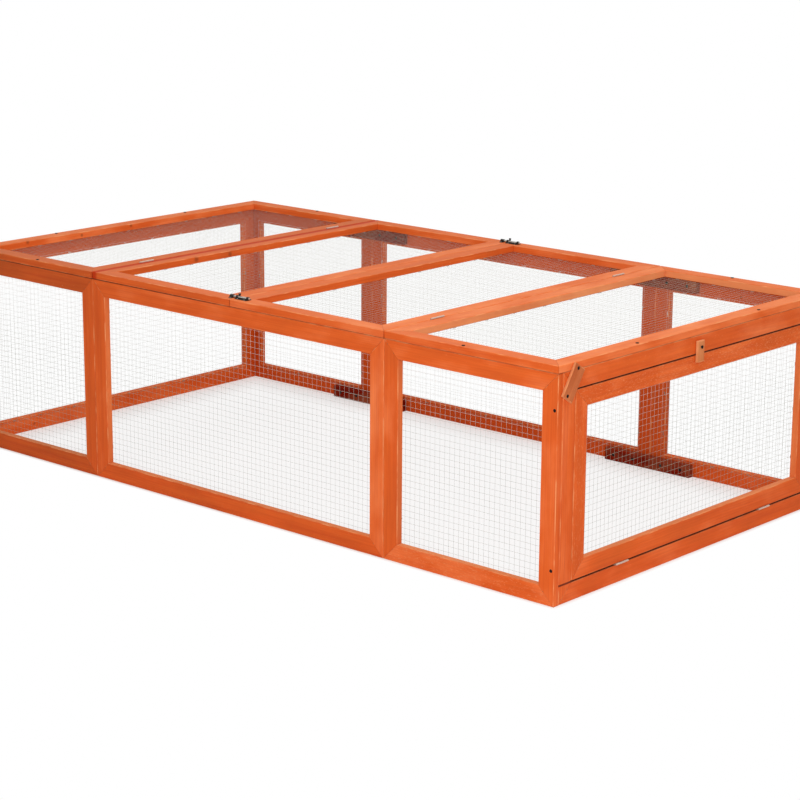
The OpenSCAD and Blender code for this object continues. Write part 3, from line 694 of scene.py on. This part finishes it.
class RUN_OT_stage(bpy.types.Operator):
    """Floor, lamps and the camera of the photograph"""

    bl_idname = "run.stage"
    bl_label = "Stage"

    def execute(self, context):
        stage, scene = context.scene.run_stage, context.scene
        scene.view_settings.view_transform = "Standard"
        self.floor(stage)
        self.world(scene, stage)
        self.lamp("overhead_lamp", stage.overhead, (0.9, -0.3, 3.1), (0.2, 0, 0.2), 3.0)
        self.lamp("fill_lamp", stage.fill, (2.8, -3.1, 1.8), (0.2, 0, 0.3), 2.2)
        self.camera(scene, stage)
        return {"FINISHED"}

    def seen(self, add):
        """1 for what the camera, mirrors and glass look at, 0 for light on the run."""
        path = add("LightPath", out=None)
        seen = add("Math", (path["Is Camera Ray"], path["Is Glossy Ray"]), "MAXIMUM")
        return add("Math", (seen, path["Is Transmission Ray"]), "MAXIMUM")

    def floor(self, stage):
        """A flat pale floor 40 m across, which the camera sees fade to white round the run.

        The fade follows the distance of a point outside the run's own rectangle."""
        material, add = emptied(bpy.data.materials.new("studio_floor"))
        place = add("VectorMath", (add("TexCoord", out="Object"),), "ABSOLUTE")
        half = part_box("plain_end_frame")[0][0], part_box("front_left_frame")[0][1]
        place = add("VectorMath", (place, (*half, 0)), "ADD")
        outside = add("VectorMath", (place, (0, 0, 0)), "MAXIMUM")
        away = add("VectorMath", (outside,), "LENGTH", "Value")
        split = add("SeparateXYZ", (place,), out=None)
        inside = add("Math", (split["X"], split["Y"]), "MAXIMUM")
        inside = add("MapRange", (inside, -0.15, -0.02, stage.under, stage.foot), SMOOTH)
        white = add("MapRange", (away, 0.0, stage.fade, inside, 1), SMOOTH)
        white = add("Math", (white, self.seen(add)), "MULTIPLY")
        paper = add("BsdfDiffuse", {"Color": linear(stage.floor)})
        glow = add("Emission", {"Color": (1, 1, 1, 1), "Strength": 1.0})
        mixed = add("MixShader", (white, paper, glow))
        add("OutputMaterial", {"Surface": mixed}, out=None)
        corners = np.array([[-20, -20, 0], [20, -20, 0], [20, 20, 0], [-20, 20, 0]], float)
        floor = new_piece("studio_floor", (corners, np.array([[0, 1, 2, 3]])), material)

    def world(self, scene, stage):
        """White where the camera, mirrors and glass look, an even sky for the rest."""
        world, add = emptied(bpy.data.worlds.new("studio"))
        strength = add("MapRange", (self.seen(add), 0, 1, stage.sky, 1.0))
        light = add("Background", {"Color": (1, 1, 1, 1), "Strength": strength})
        add("OutputWorld", {"Surface": light}, out=None)
        scene.world = world

    def lamp(self, name, power, place, aim, size):
        """A square area lamp that faces a point."""
        data = bpy.data.lights.new(name, "AREA")
        data.energy, data.size = power, size
        lamp = bpy.data.objects.new(name, data)
        bpy.context.scene.collection.objects.link(lamp)
        lamp.location = place
        away = Vector(place) - Vector(aim)
        lamp.rotation_euler = away.to_track_quat("Z", "Y").to_euler()

    def camera(self, scene, stage):
        """The camera's own X, Y and Z point right, up and back along the view."""
        data = bpy.data.cameras.new("view")
        data.lens, data.sensor_width = stage.lens, 36
        data.clip_end = 100
        camera = bpy.data.objects.new("view", data)
        scene.collection.objects.link(camera)
        camera.matrix_world = (
            Matrix.Translation(MIDDLE) @ Matrix.Rotation(stage.azimuth, 4, "Z")
            @ Matrix.Rotation(math.pi / 2 - stage.elevation, 4, "X")
            @ Matrix.Rotation(stage.roll, 4, "Z")
            @ Matrix.Translation((stage.pan_right, stage.pan_up, stage.distance)))
        scene.camera = camera


class RUN_OT_frames(bpy.types.Operator):
    """Stained wood on the mitred frames"""

    bl_idname = "run.frames"
    bl_label = "Frames"

    def execute(self, context):
        wood = context.scene.run_wood
        for seed, (name, (plane, tones, seams)) in enumerate(FRAMES.items()):
            low, high = node_box(name)
            middle, half = (low + high) / 2, (high - low) / 2
            axis = PLANES[plane][2]
            side = float(np.sign(middle[axis] - MIDDLE[axis]))
            layout = partial(
                frame_layout, plane=plane, middle=middle, half=half, seed=float(seed),
                board=wood.board_width, tones=tones, specks=SPECKS.get(name, EVEN),
                seams=seams,
                knots=self.knots(name, PLANES[plane], middle, half, wood.board_width, seed))
            bleach, gloss = (0.16, EDGES.get(name, 0.16), 0.3), 0.22
            if name in INSIDE:
                bleach, gloss = (0.0, 0.0, INSIDE[name]), 0.14
            stained_wood(name, wood, layout, (axis, side), bleach, gloss,
                         seam=wood.step if LID_STEP in seams else None)
        return {"FINISHED"}

    def knots(self, name, axes, middle, half, board, seed):
        """Knots from the photograph, or one at random on some board of the far frames.

        A random one lies up to a fifth of the board's width from its middle line."""
        if not name.startswith(("back", "plain")):
            return [((np.array(knot[:3]) - middle)[axes].tolist(), knot[3], False)
                    for knot in KNOTS.get(name, ())]
        random = np.random.default_rng(40 + seed)
        size = half[axes[:2]]
        way = int(size[1] > random.uniform(0, size.sum()))
        spot = np.zeros(3)
        spot[way] = random.uniform(-0.8, 0.8) * size[way]
        spot[1 - way] = size[1 - way] - board * random.uniform(0.3, 0.7)
        spot[1 - way] *= random.choice((-1, 1))
        return [(spot.tolist(), random.uniform(3.0, 4.5) * MM, True)]


class RUN_OT_small_wood(bpy.types.Operator):
    """Stained wood on the cleats, the turn button and the joining blocks"""

    bl_idname = "run.small_wood"
    bl_label = "Small wooden pieces"

    def execute(self, context):
        wood = context.scene.run_wood
        sticks = (
            ("corner_cleats", (0.443, 0.450, 0.9105), (73 * MM, 35 * MM, 6 * MM),
             math.radians(180 - 57), (0,), 31.0, "#C4602E", "#A84618"),
            ("turn_button", (-0.013, 0.4405, 0.9109), (45 * MM, 25 * MM, 6 * MM),
             math.radians(90), (), 32.0, "#D47A44", "#BE5E2E"))
        for name, middle, size, tilt, folded, seed, light, deep in sticks:
            layout = partial(stick_layout, plane="end", middle=middle, size=size, tilt=tilt,
                             folded=folded, seed=seed)
            stained_wood(name, wood, layout, (0, 1.0), (0.2, 0.3, 0.0), 0.22, light=light,
                         deep=deep)
        for name, z in (("bottom_joining_blocks", 0.015), ("top_joining_blocks", 0.459)):
            layout = partial(stick_layout, plane="side", middle=(0.45375, z, 0.461),
                             size=(246 * MM, 30 * MM, 16 * MM), tilt=0.0, folded=(0, 2),
                             seed=40.0 + z)
            stained_wood(name, wood, layout, (1, 1.0), (0.0, 0.0, 0.0), 0.06,
                         light=wood.block, deep=wood.block_deep, worn="#962C0A")
        return {"FINISHED"}


class RUN_OT_netting(bpy.types.Operator):
    """Half-inch welded netting and its staples in place of each coarse net"""

    bl_idname = "run.netting"
    bl_label = "Netting"

    def execute(self, context):
        wire = context.scene.run_wire
        clean, damp = (wire.zinc, wire.zinc_dull), (wire.damp, wire.damp_dull)
        weathered = (wire.weathered, wire.weathered_dull)
        above = galvanised_wire("galvanised_roof_wire", weathered, weathered, 0.0)
        beside = galvanised_wire("galvanised_wire", clean, damp, wire.grass)
        for seed, (name, plane) in enumerate(NETS.items()):
            random = np.random.default_rng(100 + seed)
            low, high = node_box(name)
            axes = PLANES[plane]
            size = (high - low)[axes[:2]]
            # The net's outer face lies on the frame's inner face
            facing = np.sign((low + high)[axes[2]] / 2 - MIDDLE[axes[2]])
            foot = low.copy()
            foot[axes[2]] = (high if facing > 0 else low)[axes[2]]
            way = np.eye(3)[axes] * np.array([1, 1, -facing])[:, None]
            near = name.startswith(("front", "door"))
            made = {"_netting": self.net(size, wire, wire.diameter if near else wire.thin,
                                         random),
                    "_staples": self.staples(size, wire, random)}
            for ending, (verts, faces) in made.items():
                piece = new_piece(
                    name.replace("_net", ending), (foot + verts @ way, faces),
                    above if plane == "roof" else beside,
                    body_of(frame["nodes"][name])[0])
                if ending == "_netting":
                    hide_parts(name)
        return {"FINISHED"}

    def net(self, size, wire, diameter, random):
        """Wires both ways and a blob on each crossing, moved by one smooth field.

        A wire is a square tube: its corners are its centre line plus half a diameter in
        four directions. The field adds to a point (u, v) of the net three sums of slow
        sine waves, two within the plane and one across it, which fade out at the rim."""
        waves = random.uniform(-1, 1, (3, 6, 3))
        waves[:2, :, :2] *= 2 * np.pi / 0.30
        waves[2, :, :2] *= 2 * np.pi / 0.80
        radius = diameter / 2
        rows = [np.linspace(radius, length - radius, int(round(length / wire.pitch)) + 1)
                for length in size]
        surfaces = []
        corner = np.array([[0, 1], [1, 0], [0, -1], [-1, 0]]) * radius
        for way in (0, 1):
            steps = int(round(size[1 - way] / (2 * wire.pitch))) + 1
            rings = np.empty((len(rows[way]), steps, 4, 3))
            rings[..., way] = rows[way][:, None, None] + corner[:, 0]
            rings[..., 1 - way] = np.linspace(0, size[1 - way], steps)[:, None]
            rings[..., 2] = radius * (1 + 2 * way) + corner[:, 1]
            surfaces.append(skin(rings))
        u, v = np.meshgrid(*rows, indexing="ij")
        tips = np.array([[1, 0, 0], [0, 1, 0], [-1, 0, 0], [0, -1, 0], [0, 0, 1],
                         [0, 0, -1]]) * (wire.weld, wire.weld, diameter * 0.8)
        middle = np.stack([u.ravel(), v.ravel(), np.full(u.size, diameter)], 1)
        eight = np.array([[0, 1, 4], [1, 2, 4], [2, 3, 4], [3, 0, 4],
                          [1, 0, 5], [2, 1, 5], [3, 2, 5], [0, 3, 5]])
        surfaces.append(((middle[:, None] + tips).reshape(-1, 3),
                         (np.arange(u.size)[:, None, None] * 6 + eight).reshape(-1, 3)))
        verts, faces = joined(surfaces)
        u, v = verts[:, 0], verts[:, 1]
        rim = np.minimum(np.minimum(u, size[0] - u), np.minimum(v, size[1] - v))
        fade = np.clip(rim / 0.04 - 0.25, 0, 1)
        phase = (waves[:, :, 0, None] * u + waves[:, :, 1, None] * v
                 + 3 * waves[:, :, 2, None])
        shift = np.sin(phase).sum(1) / 3 * fade
        moves = np.stack([wire.wobble * shift[0], wire.wobble * shift[1],
                          wire.bulge * (fade + shift[2]) / 2], 1)
        return verts + moves, faces

    def staples(self, size, wire, random):
        """Staples over the netting's edge, every so often along each board.

        A staple's path goes up out of the wood, over a cut corner, along the crown and
        down again. Each is turned a little in the plane."""
        feet, turn = [], []
        for way in (0, 1):
            count = int(size[way] / wire.staple_every)
            along = (np.arange(count) + 0.5) / count * size[way]
            along = along + random.uniform(-9, 9, count) * MM
            for across in (wire.lap / 2, size[1 - way] - wire.lap / 2):
                foot = np.zeros((count, 3))
                foot[:, way], foot[:, 1 - way] = along, across
                feet.append(foot)
                turn.append(np.full(count, way * np.pi / 2))
        foot, turn = np.concatenate(feet), np.concatenate(turn)
        turn = turn + random.normal(0, 0.18, len(turn))
        half, bend = wire.staple_crown / 2, 0.8 * MM
        top = wire.diameter * 2 + 0.5 * MM
        shape = np.array([[-half, -3 * MM], [-half, top - bend], [bend - half, top],
                          [half - bend, top], [half, top - bend], [half, -3 * MM]])
        zero = np.zeros(len(turn))
        along = np.stack([np.cos(turn), np.sin(turn), zero], 1)
        level = np.stack([-np.sin(turn), np.cos(turn), zero], 1)
        path = foot[:, None] + shape[:, :1] * along[:, None] + shape[:, 1:] * (0, 0, 1)
        section = np.array([[1, 1], [-1, 1], [-1, -1], [1, -1]]) * (0.5 * MM, 0.35 * MM)
        return carried(path, level[:, None], section)


class RUN_OT_screws(bpy.types.Operator):
    """Cross-recessed screws in place of the plain ones"""

    bl_idname = "run.screws"
    bl_label = "Screws"

    def execute(self, context):
        bolt = context.scene.run_bolt
        black = plated_metal("black_phosphate_screw", "#1E1A18", "#0E0C0B", 0.0, 0.6, 0.2)
        steel = plated_metal("zinc_plated_screw", "#C4C1BA", "#8F8B84", 0.9, 0.3)
        # Radii of head, shank and tip, depths of the head's edge and foot, depth of the
        # recess, height of the dome, material and slot
        large = (bolt.head, bolt.shank, 0.4 * bolt.shank, 0.25 * MM, bolt.head_height,
                 1.3 * MM, 0.0, black, "black_screw")
        small = (1.8 * MM, 1.0 * MM, 0.3 * MM, 0.4 * MM, 1.2 * MM,
                 0.6 * MM, 0.5 * MM, steel, "plated_steel")
        # Axis, 1 where the heads face away from the middle or up, and how far they stand
        # proud of the wood
        kinds = {"roof_screws": (60, large, 2, 1, 1.1 * MM),
                 "corner_screws": (61, large, 1, 1, 0.0),
                 "cleat_screws": (62, large, 0, 1, 0.2 * MM),
                 "joining_block_screws": (63, large, 1, -1, 0.2 * MM),
                 "button_screw": (64, large, 0, 1, 0.0),
                 "bolt_plate_screws": (70, small, 2, 1, 0.0),
                 "keeper_screws": (71, small, 2, 1, 0.0)}
        share = np.array([0.06, 0.2, 0.34, 0.48, 0.6, 0.68, 0.9, 1.0])
        for name, (seed, kind, axis, side, proud) in kinds.items():
            head, shank, tip, edge, foot, recess, dome, material, slot = kind
            boxes = solids_of(name)
            heads = boxes.mean(1)
            facing = np.ones(len(heads)) if axis == 2 else side * np.sign(heads[:, axis])
            heads[:, axis] = np.where(facing > 0, boxes[:, 1, axis], boxes[:, 0, axis])
            length = (boxes[:, 1, axis] - boxes[:, 0, axis]).min()
            radius = np.append(share * head, [head, shank, shank, tip])
            depth = np.append([-proud] * len(share), [edge, foot, length - 4 * MM, length])
            surface = screws(heads, axis, facing, (radius, depth, len(share)), recess, dome,
                             np.random.default_rng(seed))
            piece = new_piece(name + "_crosshead", surface, material,
                              body_of(frame["nodes"][name])[0])
            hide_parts(name)
        return {"FINISHED"}


class RUN_OT_bolts(bpy.types.Operator):
    """Barrel bolts: base plates with rolled straps, keepers, and rods with knobs"""

    bl_idname = "run.bolts"
    bl_label = "Barrel bolts"

    def execute(self, context):
        bolt = context.scene.run_bolt
        zinc = plated_metal("tarnished_zinc_plate", "#45423C", "#1D1B18", 0.9, 0.3)
        steel = plated_metal("nickel_plated_rod", "#C9C6BE", "#9A958C", 0.95, 0.22)
        for name, piece_name, body in (("bolt_plates", "bolt_bases", "right_lid"),
                                       ("bolt_keepers", "bolt_catches", "left_lid")):
            low, high = node_box(name)
            # A base plate has a strap at each end, and a keeper is one strap
            wide, middles = high[0] - low[0], [(low[0] + high[0]) / 2]
            if name == "bolt_plates":
                wide = bolt.strap
                middles = [low[0] + wide / 2, high[0] - wide / 2]
            parts = []
            for rod in ("front_bolt_rod", "back_bolt_rod"):
                y = sum(node_box(rod))[1] / 2
                width = high[1] - abs(y)
                parts.append(plate(np.array([low[0], y - width, low[2]]),
                                   np.array([high[0], y + width, low[2] + bolt.plate]),
                                   3 * MM, 0.4 * MM))
                parts += [self.strap(x, y, low[2], wide, bolt) for x in middles]
            piece = new_piece(piece_name, joined(parts), zinc, body)
            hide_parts(name)
        for body in ("front_bolt", "back_bolt"):
            name = body + "_rod"
            rod, knob = self.rod(name, bolt)
            piece = new_piece(body + "_bar", rod, steel, body)
            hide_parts(name)
            new_piece(body + "_knob", knob, zinc, body)
        return {"FINISHED"}

    def strap(self, x, y, floor, width, bolt):
        """A band over the rod: foot, leg, half circle about the rod, leg and foot."""
        arch = bolt.rod + 0.2 * MM + bolt.strap_wall / 2
        arc = np.linspace(0, np.pi, 17)
        over = np.stack([-arch * np.cos(arc), bolt.rod_rise + arch * np.sin(arc)], 1)
        foot = bolt.plate + bolt.strap_wall / 2
        bend = np.linspace(0, np.pi / 2, 4)[1:]
        left = np.stack([-arch - 0.8 * MM * (1 - np.sin(bend)),
                         foot + 0.8 * MM * (1 - np.cos(bend))], 1)
        left = np.concatenate([[[-arch - 2.6 * MM, foot], [-arch - 0.8 * MM, foot]], left])
        flat = np.concatenate([left, over[1:-1], left[::-1] * (-1, 1)])
        path = np.column_stack([np.zeros(len(flat)), flat]) + (x, y, floor)
        return carried(path[None], np.array([1.0, 0, 0]),
                       oblong(width, bolt.strap_wall, 0.25 * MM))

    def rod(self, name, bolt):
        """A rod with a chamfered nose, and a turned knob on a stem."""
        low, high = node_box(name)
        y = (low[1] + high[1]) / 2
        z = node_box("bolt_plates")[0][2] + bolt.rod_rise
        nose, tail, r = low[0], high[0], bolt.rod
        rod = turned([0.55 * r, 0.85 * r, r, r, 0.85 * r],
                     [nose, nose + 0.5 * MM, nose + 1.2 * MM, tail - 0.5 * MM, tail],
                     (0, y, z), 0)
        rise, wide = high[2] - z, (high[1] - low[1]) / 2
        widths = np.array([0.7, 0.62, 0.62, 0.82, 0.97, 1.0, 1.0, 0.93, 0.75, 0.4]) * wide
        rises = np.array([0, 0.3, 0.55, 0.62, 0.67, 0.74, 0.86, 0.94, 0.985, 1.0]) * rise
        return rod, turned(widths, rises, (bolt.knob_x, y, z), 2, 24)


class RUN_OT_hinges(bpy.types.Operator):
    """Plating on the hinges and the pins of the mitres"""

    bl_idname = "run.hinges"
    bl_label = "Hinges and pins"

    def execute(self, context):
        steel = plated_metal("nickel_plated_hinge", "#DCC6B6", "#B89C8A", 0.5, 0.35)
        brad = plated_metal("brad_head", "#B4764E", "#7A4020", 0.3, 0.5)
        for name, node in frame["nodes"].items():
            if name.endswith("_mitre_pins"):
                dress(node, brad)
            elif "hinge" in name or "_leaf" in name or "_leaves" in name:
                dress(node, steel)
        return {"FINISHED"}


class RUN_PT_panel(bpy.types.Panel):
    """Lists the operators of the run"""

    bl_idname = "RUN_PT_panel"
    bl_label = "Guinea pig run"
    bl_space_type = "VIEW_3D"
    bl_region_type = "UI"
    bl_category = "Run"

    def draw(self, context):
        for operator in OPERATORS:
            self.layout.operator(operator.bl_idname)


GROUPS = {"run_wood": RunWood, "run_wire": RunWire, "run_bolt": RunBolt,
          "run_stage": RunStage}
OPERATORS = (RUN_OT_stage, RUN_OT_frames, RUN_OT_small_wood, RUN_OT_netting, RUN_OT_screws,
             RUN_OT_bolts, RUN_OT_hinges)


def register():
    """Registers the property groups, the operators and the panel."""
    for name, group in GROUPS.items():
        bpy.utils.register_class(group)
        setattr(bpy.types.Scene, name, bpy.props.PointerProperty(type=group))
    for shown in (*OPERATORS, RUN_PT_panel):
        bpy.utils.register_class(shown)


def unregister():
    """Takes them all away again."""
    for shown in (RUN_PT_panel, *reversed(OPERATORS)):
        bpy.utils.unregister_class(shown)
    for name, group in reversed(GROUPS.items()):
        delattr(bpy.types.Scene, name)
        bpy.utils.unregister_class(group)


def main():
    """Makes every piece in order."""
    register()
    for operator in OPERATORS:
        group, name = operator.bl_idname.split(".")
        getattr(getattr(bpy.ops, group), name)()


if __name__ == "__main__":
    main()
